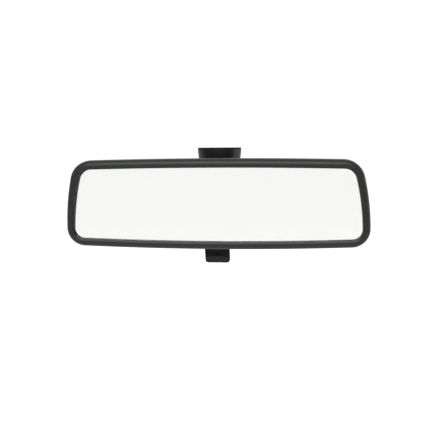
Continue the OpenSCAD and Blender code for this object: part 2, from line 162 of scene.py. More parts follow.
def finish(name, color, roughness, grain, cloud, changes, bump, shader=None, stretch=(1, 1, 1)):
    """A material: grain and cloud sizes in metres, changes in colour and roughness, bump depth."""
    material = bpy.data.materials.new(name)
    material.use_nodes = True
    tree = material.node_tree
    surface = tree.nodes["Principled BSDF"]
    place = tree.nodes.new("ShaderNodeTexCoord")
    mapping = tree.nodes.new("ShaderNodeMapping")
    mapping.inputs["Scale"].default_value = stretch
    texture = tree.nodes.new("ShaderNodeGroup")
    texture.node_tree = grain_group
    texture.inputs["Color"].default_value = (*color, 1)
    texture.inputs["Roughness"].default_value = roughness
    texture.inputs["Grain Scale"].default_value = 1 / grain
    texture.inputs["Cloud Scale"].default_value = 1 / cloud
    texture.inputs["Color Change"].default_value = changes[0]
    texture.inputs["Roughness Change"].default_value = changes[1]
    relief = tree.nodes.new("ShaderNodeBump")
    relief.inputs["Distance"].default_value = bump
    link = tree.links.new
    link(place.outputs["Object"], mapping.inputs["Vector"])
    link(mapping.outputs["Vector"], texture.inputs["Vector"])
    link(texture.outputs["Color"], surface.inputs["Base Color"])
    link(texture.outputs["Roughness"], surface.inputs["Roughness"])
    link(texture.outputs["Height"], relief.inputs["Height"])
    link(relief.outputs["Normal"], surface.inputs["Normal"])
    for socket, value in (shader or {}).items():
        surface.inputs[socket].default_value = value
    return material


floor_drop = 320 * mm
floor_half = 9
floor_mesh = bmesh.new()
bmesh.ops.create_grid(floor_mesh, x_segments=2, y_segments=2, size=floor_half,
                      matrix=Matrix.Translation((0, 0, cad_box[0].z - floor_drop)))
floor = bpy.data.objects.new("floor", bpy.data.meshes.new("floor"))
floor_mesh.to_mesh(floor.data)
floor.data.materials.append(
    finish("studio_floor", (0.96, 0.96, 0.955), 0.9, 8 * mm, 400 * mm, (0.01, 0.02), 0.1 * mm,
           {"Specular IOR Level": 0.1}))
bpy.context.scene.collection.objects.link(floor)


# Foot plate, washer and nut
# The die-cast plate is the foot's core. The stem's threaded end comes up through it and is
# held by a plain washer and a hexagon nut in a recess under the glue face.
def dress(material, *names):
    """Gives CAD nodes a material."""
    for name in names:
        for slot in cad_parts[name].material_slots:
            slot.material = material


cast_metal = finish("cast_metal", (0.42, 0.43, 0.44), 0.48, 0.5 * mm, 9 * mm, (0.35, 0.2),
                    0.06 * mm, {"Metallic": 0.9})
plated_steel = finish("plated_steel", (0.62, 0.63, 0.64), 0.3, 0.25 * mm, 3 * mm, (0.2, 0.22),
                      0.01 * mm, {"Metallic": 1.0}, (1, 6, 6))
dress(cast_metal, "foot_plate")
dress(plated_steel, "stem_washer", "stem_nut")

# Foot cover
# The tapered skirt round the foot plate, moulded in satin black plastic. It stops level with
# the plate and is rounded at its lower edge; the stem comes out through its middle.
pad_tilt = radians(5.1)
pad_thick = 1.1 * mm
foot_radius = 18.7 * mm
foot_height = 12.4 * mm
foot_slope = radians(6.3)
slope_start = 1.6 * mm
lower_rounding = 1.5 * mm
stem_gap = 0.3 * mm
plate_radius = 16.4 * mm
plate_height = 8.5 * mm
shaft_radius = 5 * mm
foot_place = Matrix.Rotation(-pad_tilt, 4, "X")


def rounded(corners, steps=5):
    """Polygon through (x, y, radius) corners, each rounded off by about its radius."""
    points = []
    for i, (x, y, radius) in enumerate(corners):
        corner = Vector((x, y))
        before = Vector(corners[i - 1][:2]) - corner
        after = Vector(corners[(i + 1) % len(corners)][:2]) - corner
        cut = radius / tan(before.angle(after) / 2) if radius else 0
        if not cut:
            points.append(corner)
            continue
        start = corner + before.normalized() * cut
        end = corner + after.normalized() * cut
        for k in range(steps + 1):
            u = k / steps
            points.append(start * (1 - u) ** 2 + corner * 2 * u * (1 - u) + end * u * u)
    return points


def skin(rings, closed):
    """Mesh through rings of equally many points, closed on itself or capped at both ends."""
    mesh = bmesh.new()
    rows = [[mesh.verts.new(point) for point in ring] for ring in rings]
    pairs = list(zip(rows, rows[1:]))
    if closed:
        pairs.append((rows[-1], rows[0]))
    else:
        mesh.faces.new(rows[0])
        mesh.faces.new(rows[-1])
    for a, b in pairs:
        for i in range(len(a)):
            j = (i + 1) % len(a)
            mesh.faces.new((a[i], a[j], b[j], b[i]))
    bmesh.ops.recalc_face_normals(mesh, faces=mesh.faces)
    return mesh


def turned(profile, place, closed=True, steps=96):
    """Mesh of a profile of (radius, height) points turned round the Z axis of place."""
    rings = [[place @ Vector((r * cos(2 * pi * k / steps), r * sin(2 * pi * k / steps), z))
              for k in range(steps)] for r, z in profile]
    return skin(rings, closed)


def fit(name, mesh, material, slot, body, *replaced):
    """Makes a finished piece of a mesh: smooth with crisp edges, on its body; slot is not used."""
    piece = bpy.data.objects.new(name, bpy.data.meshes.new(name))
    mesh.to_mesh(piece.data)
    mesh.free()
    piece.data.shade_smooth()
    piece.data.set_sharp_from_angle(angle=radians(32))
    piece.data.materials.clear()
    piece.data.materials.append(material)
    bpy.context.scene.collection.objects.link(piece)
    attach(piece, body)
    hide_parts(*replaced)
    return piece


low_radius = foot_radius - (foot_height - slope_start) * tan(foot_slope)
hole_radius = shaft_radius + stem_gap
plate_underside = pad_thick + plate_height
cover_profile = rounded([
    (hole_radius, -foot_height, 0.3 * mm), (low_radius, -foot_height, lower_rounding),
    (foot_radius, -pad_thick, 0.35 * mm), (plate_radius, -pad_thick, 0),
    (plate_radius, -plate_underside, 0), (hole_radius, -plate_underside, 0)])
foot_plastic = finish("foot_plastic", (0.0036, 0.0036, 0.0037), 0.36, 0.35 * mm, 12 * mm,
                      (0.25, 0.12), 0.012 * mm, {"Specular IOR Level": 0.12})
fit("foot_cover_moulding", turned(cover_profile, foot_place), foot_plastic, "foot_plastic",
    "mount", "foot_cover")

# Adhesive pad
# A disc of black closed-cell foam tape, sticky on both faces, die-cut a little smaller than
# the foot. Its rim bulges slightly where the foot is pressed on to the windscreen.
pad_radius = foot_radius - 0.3 * mm
pad_bulge = 0.25 * mm
foam = finish("foam", (0.007, 0.007, 0.0073), 0.85, 0.4 * mm, 5 * mm, (0.4, 0.1), 0.12 * mm,
              {"Specular IOR Level": 0.06})
pad_rim = [(pad_radius - pad_bulge * (1 - cos(radians(a))), -pad_thick / 2 * (1 + sin(radians(a))))
           for a in range(90, -91, -15)]
fit("adhesive_tape", turned(pad_rim, foot_place, closed=False), foam, "foam_pad", "mount",
    "adhesive_pad")

# Ball stem
# One steel rod: a turned ball and neck, a thick bent arm, a plain shaft into the foot and a
# threaded end. It is phosphated black, so it shows a soft dark sheen.
ball_radius = 7 * mm
ball_back = 23 * mm
ball_up = 2 * mm
ball_center = head_middle + Vector((0, ball_back, ball_up))
socket_tilt = radians(8)
neck_radius = 3.2 * mm
neck_length = 10.5 * mm
stem_radius = 4.5 * mm
stem_shoulder = 1.6 * mm
bend_radius = 9 * mm
shaft_below = 4.8 * mm
thread_radius = 3 * mm
thread_end = 2.1 * mm
tip_angle = 0.02
out_of_ball = Vector((0, cos(socket_tilt), sin(socket_tilt)))
into_foot = Vector((0, sin(pad_tilt), cos(pad_tilt)))

reach = (ball_center.z * into_foot.y - ball_center.y * into_foot.z) / (
    out_of_ball.y * into_foot.z - out_of_ball.z * into_foot.y)
bend = out_of_ball.angle(into_foot)
straight = reach - bend_radius * tan(bend / 2)
bend_center = (ball_center + out_of_ball * straight
               + Vector((0, -out_of_ball.z, out_of_ball.y)) * bend_radius)
neck_meets_ball = asin(sqrt(1 - (neck_radius / ball_radius) ** 2))


def station(point, direction, radius, steps=48):
    """Ring of a rod of that radius at a point on its middle line."""
    up = direction.cross(Vector((1, 0, 0)))
    return [point + Vector((radius * cos(2 * pi * k / steps), 0, 0))
            + up * (radius * sin(2 * pi * k / steps)) for k in range(steps)]


stem_rings = []
for k in range(37):
    a = -pi / 2 + tip_angle + (neck_meets_ball + pi / 2 - tip_angle) * k / 36
    stem_rings.append(station(ball_center + out_of_ball * (ball_radius * sin(a)), out_of_ball,
                              ball_radius * cos(a)))
for s, r in ((ball_radius, neck_radius), (neck_length, neck_radius),
             (neck_length + 0.2 * mm, neck_radius + 0.1 * mm),
             (neck_length + stem_shoulder - 0.3 * mm, stem_radius - 0.1 * mm),
             (neck_length + stem_shoulder, stem_radius), (straight, stem_radius)):
    stem_rings.append(station(ball_center + out_of_ball * s, out_of_ball, r))
for k in range(1, 21):
    a = bend * k / 20
    direction = Vector((0, cos(socket_tilt + a), sin(socket_tilt + a)))
    point = bend_center + Vector((0, direction.z, -direction.y)) * bend_radius
    stem_rings.append(station(point, direction, stem_radius))
shoulder_depth = foot_height + shaft_below
for depth, r in ((shoulder_depth + 0.5 * mm, stem_radius), (shoulder_depth, shaft_radius),
                 (plate_underside, shaft_radius), (plate_underside - 0.01 * mm, thread_radius),
                 (thread_end + 0.4 * mm, thread_radius), (thread_end, thread_radius - 0.4 * mm)):
    stem_rings.append(station(into_foot * -depth, into_foot, r))
stem_steel = finish("stem_steel", (0.028, 0.028, 0.03), 0.42, 0.2 * mm, 6 * mm, (0.5, 0.25),
                    0.012 * mm, {"Metallic": 0.75, "Specular IOR Level": 0.4})
fit("stem_rod", skin(stem_rings, False), stem_steel, "stem_steel", "mount", "ball_stem")

# Ball socket
# Two natural nylon shells hold the ball in the cast carrier. A pressed-steel seat, a pair of
# dished washers and a retaining plate squeeze them, which gives the mirror its stiffness.
nylon = finish("nylon", (0.72, 0.69, 0.6), 0.45, 0.3 * mm, 4 * mm, (0.12, 0.15), 0.01 * mm,
               {"Subsurface Weight": 0.15, "Subsurface Radius": (0.002, 0.0016, 0.0012)})
spring_steel = finish("spring_steel", (0.36, 0.37, 0.4), 0.34, 0.15 * mm, 4 * mm, (0.3, 0.25),
                      0.008 * mm, {"Metallic": 1.0}, (1, 1, 8))
dress(nylon, "socket_liner_rear", "socket_liner_front", "hinge_bushes")
dress(cast_metal, "carrier_plate")
dress(plated_steel, "pressure_pad", "retainer_plate")
dress(spring_steel, "disc_springs")

# Retaining screws
# Four small pan-head screws with crossed slots hold the retaining plate on the carrier.
# They are rolled from wire and zinc plated.
slot_reach, slot_breadth = 1.3, 0.28
core_share, ridge_share, threaded_share = 0.84, 0.15, 0.96
screw_circle = 10.2 * mm
screw_seat = 12.42 * mm
screw_tree = bpy.data.node_groups.new("placed_screws", "GeometryNodeTree")
for label, kind in (("Geometry", "Geometry"), ("Head Radius", "Float"), ("Head Height", "Float"),
                    ("Shank Radius", "Float"), ("Shank Length", "Float"), ("Thread Pitch", "Float"),
                    ("Turn", "Rotation"), ("Finish", "Material")):
    screw_tree.interface.new_socket(label, in_out="INPUT", socket_type="NodeSocket" + kind)
screw_tree.interface.new_socket("Geometry", in_out="OUTPUT", socket_type="NodeSocketGeometry")


def grow(tree, kind, values=None, **properties):
    """A new node with its properties and inputs set; an input given a socket is linked to it."""
    node = tree.nodes.new(kind)
    for key, value in properties.items():
        setattr(node, key, value)
    for key, value in (values or {}).items():
        for one in value if isinstance(value, list) else [value]:
            if isinstance(one, bpy.types.NodeSocket):
                tree.links.new(one, node.inputs[key])
            else:
                node.inputs[key].default_value = one
    return node


def math_of(tree, operation, a, b):
    """Output of a math node on two numbers or sockets."""
    return grow(tree, "ShaderNodeMath", {0: a, 1: b}, operation=operation).outputs[0]


def run_tree(name, base, tree, inputs):
    """Plain mesh that a Geometry Nodes tree makes of a base mesh with those inputs."""
    carrier = bpy.data.objects.new(name, bpy.data.meshes.new(name))
    base.to_mesh(carrier.data)
    base.free()
    bpy.context.scene.collection.objects.link(carrier)
    modifier = carrier.modifiers.new(tree.name, "NODES")
    modifier.node_group = tree
    for item in tree.interface.items_tree:
        if item.in_out == "INPUT" and item.name in inputs:
            modifier[item.identifier] = inputs[item.name]
    carrier.update_tag()
    depsgraph = bpy.context.evaluated_depsgraph_get()
    made = bpy.data.meshes.new_from_object(carrier.evaluated_get(depsgraph))
    bpy.data.objects.remove(carrier)
    mesh = bmesh.new()
    mesh.from_mesh(made)
    bpy.data.meshes.remove(made)
    return mesh


given = screw_tree.nodes.new("NodeGroupInput").outputs
half_head_down = math_of(screw_tree, "MULTIPLY", given["Head Height"], -0.5)
head = grow(screw_tree, "GeometryNodeMeshCylinder", {
    "Vertices": 32, "Radius": given["Head Radius"], "Depth": given["Head Height"]})
head_place = grow(screw_tree, "ShaderNodeCombineXYZ", {"Z": half_head_down})
head_solid = grow(screw_tree, "GeometryNodeTransform", {
    "Geometry": head.outputs["Mesh"], "Translation": head_place.outputs[0]})
slot_long = math_of(screw_tree, "MULTIPLY", given["Head Radius"], slot_reach)
slot_wide = math_of(screw_tree, "MULTIPLY", given["Head Radius"], slot_breadth)
slot_top = grow(screw_tree, "ShaderNodeCombineXYZ",
                {"Z": math_of(screw_tree, "MULTIPLY", given["Head Height"], -1.0)})
crossed_slots = []
for across, along in ((slot_long, slot_wide), (slot_wide, slot_long)):
    size = grow(screw_tree, "ShaderNodeCombineXYZ",
                {"X": across, "Y": along, "Z": given["Head Height"]})
    slot = grow(screw_tree, "GeometryNodeMeshCube", {"Size": size.outputs[0]})
    crossed_slots.append(grow(screw_tree, "GeometryNodeTransform", {
        "Geometry": slot.outputs["Mesh"], "Translation": slot_top.outputs[0]}).outputs[0])
slotted = grow(screw_tree, "GeometryNodeMeshBoolean", {
    "Mesh 1": head_solid.outputs[0], "Mesh 2": crossed_slots}, operation="DIFFERENCE")
core_radius = math_of(screw_tree, "MULTIPLY", given["Shank Radius"], core_share)
shank = grow(screw_tree, "GeometryNodeMeshCylinder", {
    "Vertices": 24, "Radius": core_radius, "Depth": given["Shank Length"]})
shank_place = grow(screw_tree, "ShaderNodeCombineXYZ",
                   {"Z": math_of(screw_tree, "MULTIPLY", given["Shank Length"], 0.5)})
shank_solid = grow(screw_tree, "GeometryNodeTransform", {
    "Geometry": shank.outputs["Mesh"], "Translation": shank_place.outputs[0]})
helix = grow(screw_tree, "GeometryNodeCurveSpiral", {
    "Resolution": 20, "Start Radius": core_radius, "End Radius": core_radius,
    "Rotations": math_of(screw_tree, "DIVIDE", given["Shank Length"], given["Thread Pitch"]),
    "Height": math_of(screw_tree, "MULTIPLY", given["Shank Length"], threaded_share)})
ridge = grow(screw_tree, "GeometryNodeCurvePrimitiveCircle", {
    "Resolution": 6, "Radius": math_of(screw_tree, "MULTIPLY", given["Shank Radius"], ridge_share)})
thread = grow(screw_tree, "GeometryNodeCurveToMesh", {
    "Curve": helix.outputs[0], "Profile Curve": ridge.outputs["Curve"], "Fill Caps": True})
screw = grow(screw_tree, "GeometryNodeJoinGeometry", {
    "Geometry": [slotted.outputs["Mesh"], shank_solid.outputs[0], thread.outputs[0]]})
placed = grow(screw_tree, "GeometryNodeInstanceOnPoints", {
    "Points": given["Geometry"], "Instance": screw.outputs[0], "Rotation": given["Turn"]})
solid = grow(screw_tree, "GeometryNodeRealizeInstances", {"Geometry": placed.outputs[0]})
coated = grow(screw_tree, "GeometryNodeSetMaterial", {
    "Geometry": solid.outputs[0], "Material": given["Finish"]})
grow(screw_tree, "NodeGroupOutput", {"Geometry": coated.outputs[0]})


def screws_at(places, turn, head, shank, pitch):
    """Screws with their heads' undersides at places; head and shank are (radius, length)."""
    points = bmesh.new()
    for place in places:
        points.verts.new(place)
    return run_tree("screws", points, screw_tree, {
        "Head Radius": head[0], "Head Height": head[1], "Shank Radius": shank[0],
        "Shank Length": shank[1], "Thread Pitch": pitch, "Turn": turn.to_euler(),
        "Finish": plated_steel})


socket_place = Matrix.Translation(ball_center) @ Matrix.Rotation(socket_tilt - pi / 2, 4, "X")
retainer_screw_places = [
    socket_place @ Matrix.Rotation(radians(a), 4, "Z") @ Vector((screw_circle, 0, -screw_seat))
    for a in range(45, 360, 90)]
retainer_screws = screws_at(retainer_screw_places, socket_place, head=(1.4 * mm, 0.8 * mm),
                            shank=(0.79 * mm, 5 * mm), pitch=0.55 * mm)
fit("retaining_screws", retainer_screws, plated_steel, "plated_steel", "carrier",
    "retainer_screws")

# Hinge
# The head hangs on a plain steel pin across the top of the carrier, in two flanged bushes,
# and two push-on clips keep it there. Two rubber pads stop the head in its day position.
rubber = finish("rubber", (0.012, 0.012, 0.012), 0.7, 0.5 * mm, 7 * mm, (0.4, 0.15), 0.03 * mm,
                {"Specular IOR Level": 0.3})
dress(plated_steel, "hinge_pin", "tab_pin")
dress(spring_steel, "hinge_clips", "detent_spring")
dress(rubber, "stop_pads")

# Rear housing
# The back shell is one moulding in charcoal plastic with a fine grain: a shallow dome with a
# tongue that snaps into the bezel, a collar round the stem's opening, two ears for the hinge
# pin, two bosses for the tab's pin and two posts for the detent spring's screws.
head_width = 247.6 * mm
head_height = 74 * mm
widest_line = 14 * mm - head_height / 2
corner_radii = (17.4 * mm, 15 * mm)
long_edge_radii = (4450 * mm, 2830 * mm)
flank_radius = 199 * mm
bezel_depth = 9 * mm
part_line = 9.2 * mm
head_depth = 20 * mm
dome_gap = 0.25 * mm
dome_spread, dome_drop = 15 * mm, 4 * mm
shell_thick = 2.2 * mm
shell_inset, shell_spread = 3.7 * mm, 13 * mm
tongue_inset = 2.45 * mm
opening_radius = 16.5 * mm
collar_wall = 2.4 * mm
collar_front, collar_back = 18 * mm, 22.4 * mm
hinge_back, hinge_up = 13 * mm, 22 * mm
tab_back, tab_up = 11 * mm, 4.6 * mm - head_height / 2
hinge_pin_radius, tab_pin_radius = 1.5 * mm, 1.25 * mm
leaf_back, leaf_up = tab_back + 3.45 * mm, -19.2 * mm
leaf_screw_out = 8.5 * mm
slot_half, slot_rise = 11.1 * mm, 6 * mm
slot_depths = (6.8 * mm, 15.2 * mm)
ear_out, ear_half, ear_depths = 35 * mm, 2 * mm, (9 * mm, 18.5 * mm)
boss_out, boss_half, boss_depths = slot_half + 1.7 * mm, 2 * mm, (8 * mm, 15 * mm)
post_radius, post_hole_radius = 2.6 * mm, 0.9 * mm
case_plastic = finish("case_plastic", (0.0068, 0.0069, 0.0072), 0.4, 0.32 * mm, 14 * mm,
                      (0.2, 0.16), 0.022 * mm, {"Specular IOR Level": 0.135})


def arc(center, radius, start, end, count):
    """Points of an arc, its far end left out."""
    return [center + radius * Vector((cos(start + (end - start) * k / count),
                                      sin(start + (end - start) * k / count)))
            for k in range(count)]


def heading(start, end):
    """Direction from one place to another, as an angle."""
    return atan2(end.y - start.y, end.x - start.x)


def crossing(center_a, radius_a, center_b, radius_b, side):
    """Where two circles cross, on the given side of the line between their centres."""
    gap = center_b - center_a
    along = (radius_a ** 2 - radius_b ** 2 + gap.length_squared) / (2 * gap.length)
    across = side * sqrt(radius_a ** 2 - along ** 2)
    u = gap.normalized()
    return center_a + along * u + across * Vector((u.y, -u.x))


def head_outline(inset):
    """The head's outline moved in by inset: arcs that touch, from the bottom round to the top."""
    top = Vector((0, head_height / 2 - long_edge_radii[0]))
    bottom = Vector((0, long_edge_radii[1] - head_height / 2))
    flank = Vector((head_width / 2 - flank_radius, widest_line))
    top_r, bottom_r = (max(r - inset, 1 * mm) for r in corner_radii)
    upper = crossing(top, long_edge_radii[0] - inset - top_r, flank,
                     flank_radius - inset - top_r, 1)
    lower = crossing(bottom, long_edge_radii[1] - inset - bottom_r, flank,
                     flank_radius - inset - bottom_r, -1)
    right = (arc(bottom, long_edge_radii[1] - inset, -pi / 2, heading(bottom, lower), 8)
             + arc(lower, bottom_r, heading(bottom, lower), heading(flank, lower), 20)
             + arc(flank, flank_radius - inset, heading(flank, lower), heading(flank, upper), 12)
             + arc(upper, top_r, heading(flank, upper), heading(top, upper), 20)
             + arc(top, long_edge_radii[0] - inset, heading(top, upper), pi / 2, 8)
             + [Vector((0, head_height / 2 - inset))])
    return right + [Vector((-p.x, p.y)) for p in reversed(right[1:-1])]


def head_ring(inset, depth, drop=0):
    """The outline at a depth behind the bezel's front, lowered by drop."""
    return [head_middle + Vector((p.x, depth, p.y - drop)) for p in head_outline(inset)]


def block(x, back, up):
    """Box between pairs of places across the head, behind its front and above its middle."""
    rings = [[head_middle + Vector((sx, sy, z)) for sx, sy in
              ((x[0], back[0]), (x[1], back[0]), (x[1], back[1]), (x[0], back[1]))] for z in up]
    return skin(rings, False)


def rod_back(x, back, up, radius, steps=48):
    """Round bar that runs back between two depths."""
    place = (Matrix.Translation(head_middle + Vector((x, 0, up)))
             @ Matrix.Rotation(-pi / 2, 4, "X"))
    return turned([(radius, back[0]), (radius, back[1])], place, False, steps)


def rod_across(x, back, up, radius, steps=32):
    """Round bar that runs across the head between two places."""
    place = (Matrix.Translation(head_middle + Vector((0, back, up)))
             @ Matrix.Rotation(pi / 2, 4, "Y"))
    return turned([(radius, x[0]), (radius, x[1])], place, False, steps)


def carved(mesh, *steps):
    """The mesh after each ("UNION" or "DIFFERENCE", tool mesh) step."""
    pieces = []
    for part in [mesh] + [tool for _, tool in steps]:
        one = bpy.data.objects.new("carving", bpy.data.meshes.new("carving"))
        part.to_mesh(one.data)
        part.free()
        bpy.context.scene.collection.objects.link(one)
        pieces.append(one)
    for (operation, _), tool in zip(steps, pieces[1:]):
        modifier = pieces[0].modifiers.new(operation, "BOOLEAN")
        modifier.operation = operation
        modifier.solver = "EXACT"
        modifier.object = tool
    depsgraph = bpy.context.evaluated_depsgraph_get()
    made = bpy.data.meshes.new_from_object(pieces[0].evaluated_get(depsgraph))
    result = bmesh.new()
    result.from_mesh(made)
    bpy.data.meshes.remove(made)
    for one in pieces:
        bpy.data.objects.remove(one)
    bmesh.ops.remove_doubles(result, verts=result.verts, dist=0.001 * mm)
    return result


def dome(first_inset, spread, depth, step):
    """Rings of a domed skin from the parting line to its flat back."""
    return [head_ring(first_inset + spread * (1 - cos(radians(a))),
                      part_line + depth * sin(radians(a)), dome_drop * (1 - cos(radians(a))))
            for a in range(0, 91, step)]


outer_dome = dome(dome_gap, dome_spread, head_depth - part_line, 5)
inner_dome = dome(shell_inset, shell_spread, head_depth - part_line - shell_thick, 10)
tongue_end = part_line - 3 * mm
tongue = [head_ring(tongue_inset, part_line), head_ring(tongue_inset, tongue_end + 0.4 * mm),
          head_ring(tongue_inset + 0.3 * mm, tongue_end), head_ring(shell_inset, tongue_end)]
housing = skin(list(reversed(outer_dome)) + tongue + inner_dome, False)

collar_radius = opening_radius + collar_wall
collar_profile = rounded([
    (opening_radius, collar_front, 0), (collar_radius, collar_front, 0),
    (collar_radius, collar_back, 0.7 * mm), (opening_radius, collar_back, 0.3 * mm)])
collar_place = (Matrix.Translation(head_middle + Vector((0, 0, ball_up)))
                @ Matrix.Rotation(-pi / 2, 4, "X"))
tab_slot = ((-slot_half, slot_half), slot_depths,
            (-head_height / 2 - slot_rise, -head_height / 2 + slot_rise))
hinge_bore = (-ear_out - 5 * mm, ear_out + 5 * mm)
tab_bore = (-boss_out - 1.8 * mm, boss_out + 1.8 * mm)
crank_room = ((-5 * mm, 5 * mm), (13.5 * mm, 16.6 * mm), (tab_up + 0.9 * mm, tab_up + 4.9 * mm))
additions = [("UNION", turned(collar_profile, collar_place, steps=128))]
removals = [
    ("DIFFERENCE", rod_back(0, (8 * mm, 38 * mm), ball_up, opening_radius, 128)),
    ("DIFFERENCE", block(*tab_slot)),
    ("DIFFERENCE", rod_across(hinge_bore, hinge_back, hinge_up, hinge_pin_radius)),
    ("DIFFERENCE", rod_across(tab_bore, tab_back, tab_up, tab_pin_radius)),
    ("DIFFERENCE", block(*crank_room))]
for side in (-1, 1):
    ear, boss, post = side * ear_out, side * boss_out, side * leaf_screw_out
    leaf_room = ((post - 1.6 * mm, post + 1.6 * mm), (14 * mm, 15.8 * mm),
                 (tab_up - 0.8 * mm, tab_up + 3.2 * mm))
    additions += [
        ("UNION", block((ear - ear_half, ear + ear_half), ear_depths,
                        (hinge_up - 4 * mm, hinge_up + 4 * mm))),
        ("UNION", block((boss - boss_half, boss + boss_half), boss_depths,
                        (tab_up - 1.9 * mm, tab_up + 3 * mm))),
        ("UNION", rod_back(post, (leaf_back + 0.5 * mm, 18.6 * mm), leaf_up, post_radius))]
    removals += [
        ("DIFFERENCE", rod_back(post, (tab_back, tab_back + 8 * mm), leaf_up,
                                post_hole_radius, 24)),
        ("DIFFERENCE", block(*leaf_room))]
fit("rear_housing_shell", carved(housing, *additions, *removals), case_plastic, "case_plastic",
    "head", "rear_housing")

# Aperture seal
# A soft rubber ring pressed into the collar. Its thin inner lip hides the opening's edge and
# leaves the stem room to swing.
lip_radius = 14.9 * mm
seal_front, seal_back = 21 * mm, 23.8 * mm
seal_profile = rounded([
    (lip_radius, seal_front, 0.25 * mm), (opening_radius, seal_front, 0),
    (opening_radius, collar_back, 0), (collar_radius, collar_back, 0),
    (collar_radius, seal_back, 0.7 * mm), (lip_radius + 0.7 * mm, seal_back, 0.6 * mm)])
fit("aperture_ring", turned(seal_profile, collar_place, steps=128), rubber, "rubber", "head",
    "aperture_seal")

# Detent spring's screws
# Two pan-head screws hold the U-shaped leaf on the housing's posts.
spring_screws = screws_at(
    [head_middle + Vector((side * leaf_screw_out, leaf_back, leaf_up)) for side in (-1, 1)],
    Matrix.Rotation(-pi / 2, 4, "X"), head=(1.9 * mm, 0.9 * mm),
    shank=(post_hole_radius, 3.6 * mm), pitch=0.6 * mm)
fit("leaf_screws", spring_screws, plated_steel, "plated_steel", "head", "spring_screws")

# Day and night tab
# A satin black moulding that turns on the tab's pin: a blade with low raised sides, a hollow
# and a thicker grip below it, two hubs with detent flats and, between them, a crank that lifts
# the head. The grip is painted a little lighter: painted light for the light it catches while the
# hollow lies in shade.
tab_half = 10.4 * mm
tab_length = 20 * mm
tab_lean = radians(25)
tab_corner = 2.7 * mm
tab_edge = 0.55 * mm
blade_top = -2 * mm
blade_back = 1.3 * mm
recess_front = 0.9 * mm
border_front, border_wide, border_top = 1.9 * mm, 1.9 * mm, -6.1 * mm
grip_front, grip_height, grip_rise = 3.3 * mm, 8 * mm, 1.5 * mm
hub_radius, hub_flat = 3.6 * mm, 3.4 * mm
hub_inner = 5 * mm
web_half, bar_radius, tab_bore_radius = 1.9 * mm, 1.5 * mm, 1.3 * mm
dip = radians(4)
crank_radius = (hinge_up - tab_up) * sin(dip) / (2 * sin(tab_lean) + sin(dip))
tab_place = (Matrix.Translation(head_middle + Vector((0, tab_back, tab_up)))
             @ Matrix.Rotation(tab_lean, 4, "X"))


def smooth_step(x):
    """Eases from 0 to 1 as x goes from 0 to 1."""
    x = min(max(x, 0), 1)
    return x * x * (3 - 2 * x)


def blade_front(x, z):
    """How far the blade's front stands ahead of its middle plane."""
    border = (smooth_step((abs(x) - (tab_half - border_wide)) / (0.8 * mm))
              * smooth_step((border_top - z) / (0.9 * mm)))
    grip = smooth_step((grip_height - (z + tab_length)) / grip_rise)
    ridge = recess_front + (border_front - recess_front) * border
    return max(ridge, recess_front + (grip_front - recess_front) * grip)


def blade_ring(inset, across):
    """Outline of the blade moved in by inset, with across giving each point's depth."""
    half = tab_half - inset
    low = -tab_length + inset
    radius = max(tab_corner - inset, 0.3 * mm)
    top = blade_top - inset
    side_length = top - (low + radius)
    path = [(half, top - side_length * k / 14) for k in range(14)]
    path += [(half - radius * (1 - cos(pi / 2 * k / 10)), low + radius * (1 - sin(pi / 2 * k / 10)))
             for k in range(10)]
    path += [((half - radius) * (1 - k / 16), low) for k in range(17)]
    path += [(-x, z) for x, z in reversed(path[:-1])]
    return [tab_place @ Vector((x, across(x, z), z)) for x, z in path]


edge_steps = [pi / 2 * k / 6 for k in range(7)]
edge_turns = [(tab_edge * (1 - cos(a)), 0.25 + 0.75 * sin(a)) for a in edge_steps]
inner_turns = [(tab_edge + 0.35 * mm * k, 1) for k in range(1, 26)]
blade_turns = edge_turns + inner_turns
blade_rings = [blade_ring(inset, lambda x, z, share=share: -blade_front(x, z) * share)
               for inset, share in reversed(blade_turns)]
blade_rings += [blade_ring(inset, lambda x, z, share=share: blade_back * share)
                for inset, share in blade_turns]
blade = skin(blade_rings, False)


def across_tab(outline, x0, x1):
    """Solid of a (back, up) outline run across the tab between two places."""
    return skin([[tab_place @ Vector((x, y, z)) for y, z in outline] for x in (x0, x1)], False)


def hub_outline():
    """The hub's round with its two detent flats."""
    points = []
    for k in range(64):
        a = 2 * pi * k / 64
        radius = hub_radius
        for flat in (-tab_lean, tab_lean):
            facing = cos(a - flat)
            if facing > 0.1:
                radius = min(radius, hub_flat / facing)
        points.append((radius * cos(a), radius * sin(a)))
    return points


def round_outline(radius, up=0.0, count=40):
    """Circle round the pin's axis, or round a place above it."""
    return [(radius * cos(2 * pi * k / count), up + radius * sin(2 * pi * k / count))
            for k in range(count)]


def box_outline(half, low, high):
    """Rectangle between two heights from the pin's axis."""
    return [(-half, low), (half, low), (half, high), (-half, high)]


tab_steps = []
for side in (-1, 1):
    ends = sorted((side * hub_inner, side * tab_half))
    web = sorted((side * hub_inner, side * (hub_inner + 1.6 * mm)))
    tab_steps += [("UNION", across_tab(hub_outline(), *ends)),
                  ("UNION", across_tab(box_outline(web_half, 0, crank_radius), *web)),
                  ("UNION", across_tab(round_outline(web_half, crank_radius), *web))]
bar_half = hub_inner + 0.5 * mm
bore_half = tab_half + 0.6 * mm
tab_steps += [
    ("DIFFERENCE", across_tab(box_outline(2.5 * mm, -3 * mm, 2.2 * mm), -hub_inner, hub_inner)),
    ("UNION", across_tab(round_outline(bar_radius, crank_radius), -bar_half, bar_half)),
    ("DIFFERENCE", across_tab(round_outline(tab_bore_radius), -bore_half, bore_half))]
tab_plastic = finish("tab_plastic", (0.0014, 0.0014, 0.0015), 0.36, 0.3 * mm, 10 * mm,
                     (0.25, 0.14), 0.014 * mm, {"Specular IOR Level": 0.05})
# Painted light: the grip's base colour is made lighter than the tab's, standing in for light on the
# ledge while the hollow above is in shade
grip_painted_light_color = (0.0075, 0.0075, 0.0077, 1)
painted_light_fade = 0.6 * mm
tab_paint = tab_plastic.node_tree
spot = next(node for node in tab_paint.nodes if node.type == "TEX_COORD")
plain_color = next(node for node in tab_paint.nodes if node.type == "GROUP").outputs["Color"]
